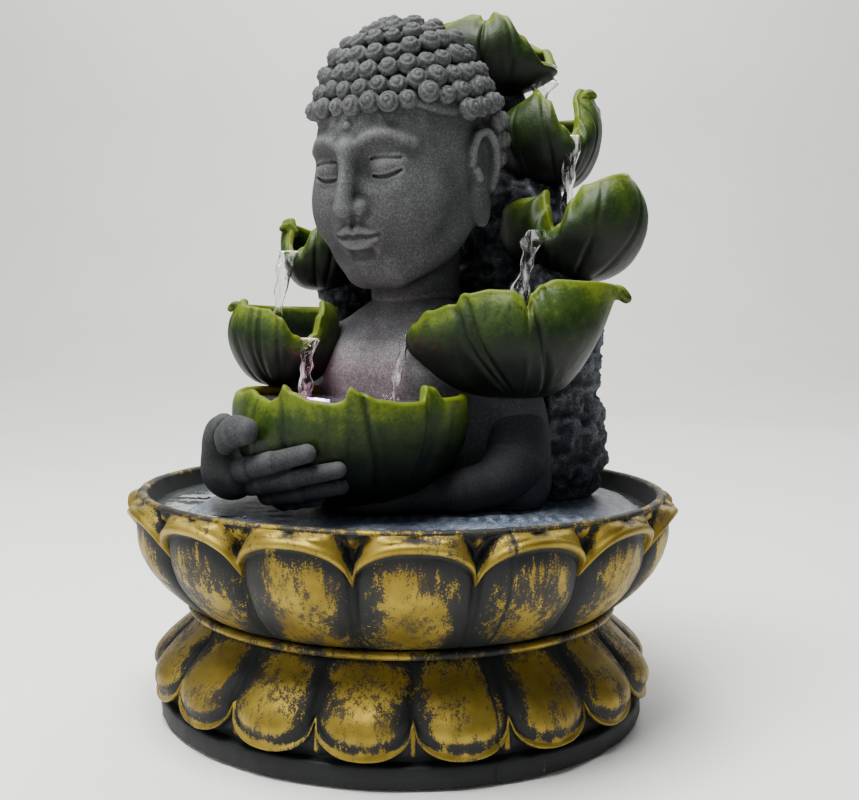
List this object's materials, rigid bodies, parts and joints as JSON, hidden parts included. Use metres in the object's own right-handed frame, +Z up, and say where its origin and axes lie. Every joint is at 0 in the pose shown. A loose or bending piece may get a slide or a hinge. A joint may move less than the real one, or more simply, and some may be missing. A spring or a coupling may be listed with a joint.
{
  "type": "tabletop water fountain",
  "caption": "Round lotus-petal basin carrying a lift-out stone bust with a rock column and cascading leaf bowls, fed by a submersible pump.",
  "frame": {"origin": "on the table under the middle of the basin, on the plane of the rubber feet", "axes": "+Z up; the bust faces -Y; +X is the bust's own left side"},
  "size_m": [0.2086, 0.2086, 0.272],
  "materials": {
    "aged_gold": "gold brushed over dark plastic, satin, worn",
    "black_plastic": "moulded, satin",
    "grey_stone": "fine speckled cast stone, matt",
    "dark_rock": "rough cast stone, dark, wet",
    "green_leaf": "painted leaf green with yellow-green rims, satin gloss",
    "rubber": "matt",
    "steel": "plain",
    "copper": "enamelled winding wire",
    "pump_plastic": "moulded",
    "white_plastic": "moulded",
    "rotor_magnet": "ferrite magnet",
    "clear_tube": "clear flexible plastic",
    "water": "clear running water"
  },
  "bodies": {
    "basin": {"lotus_basin": "aged_gold", "pedestal": "aged_gold", "waist_bead": "aged_gold", "base_cover": "black_plastic", "cover_screw_1": "steel", "cover_screw_2": "steel", "cover_screw_3": "steel", "cover_screw_4": "steel", "rubber_foot_1": "rubber", "rubber_foot_2": "rubber", "rubber_foot_3": "rubber", "rubber_foot_4": "rubber", "cable_grommet": "rubber", "pump_housing": "pump_plastic", "stator_core": "steel", "stator_coil": "copper", "rotor_shaft": "steel", "shaft_bush_front": "rubber", "shaft_bush_rear": "rubber", "volute_cover": "pump_plastic", "outlet_barb": "pump_plastic", "suction_cup_1": "rubber", "suction_cup_2": "rubber", "suction_cup_3": "rubber", "suction_cup_4": "rubber", "pump_gland": "rubber"},
    "figure": {"ground_plate": "dark_rock", "rock_column": "dark_rock", "torso": "grey_stone", "head": "grey_stone", "hair_cap": "grey_stone", "right_hand": "grey_stone", "left_hand": "grey_stone", "leaf_top": "green_leaf", "leaf_upper": "green_leaf", "leaf_right": "green_leaf", "leaf_boat": "green_leaf", "leaf_left_upper": "green_leaf", "leaf_left_lower": "green_leaf", "leaf_bowl": "green_leaf", "riser_tube": "clear_tube", "upper_tube": "clear_tube", "branch_tube": "clear_tube", "tube_tee": "pump_plastic", "light_pod": "black_plastic", "pod_seal": "rubber", "light_board": "white_plastic", "pod_lens": "clear_tube", "light_lead": "black_plastic", "lead_connector": "white_plastic"},
    "impeller": {"impeller": "rotor_magnet"},
    "strainer": {"strainer_cover": "pump_plastic"},
    "flow_dial": {"flow_dial": "white_plastic"}
  },
  "joints": [
    {"name": "figure_lift", "type": "slide", "parent": "basin", "child": "figure", "axis": [0, 0, 1], "range_m": [0, 0.12]},
    {"name": "impeller_spin", "type": "hinge", "parent": "basin", "child": "impeller", "pos_m": [0.008, 0.036, 0.0579], "axis": [1, 0, 0], "continuous": true},
    {"name": "strainer_pull", "type": "slide", "parent": "basin", "child": "strainer", "axis": [-1, 0, 0], "range_m": [0, 0.012]},
    {"name": "flow_dial_turn", "type": "hinge", "parent": "strainer", "child": "flow_dial", "pos_m": [-0.019, 0.036, 0.0629], "axis": [1, 0, 0], "range_deg": [0, 90]}
  ]
}
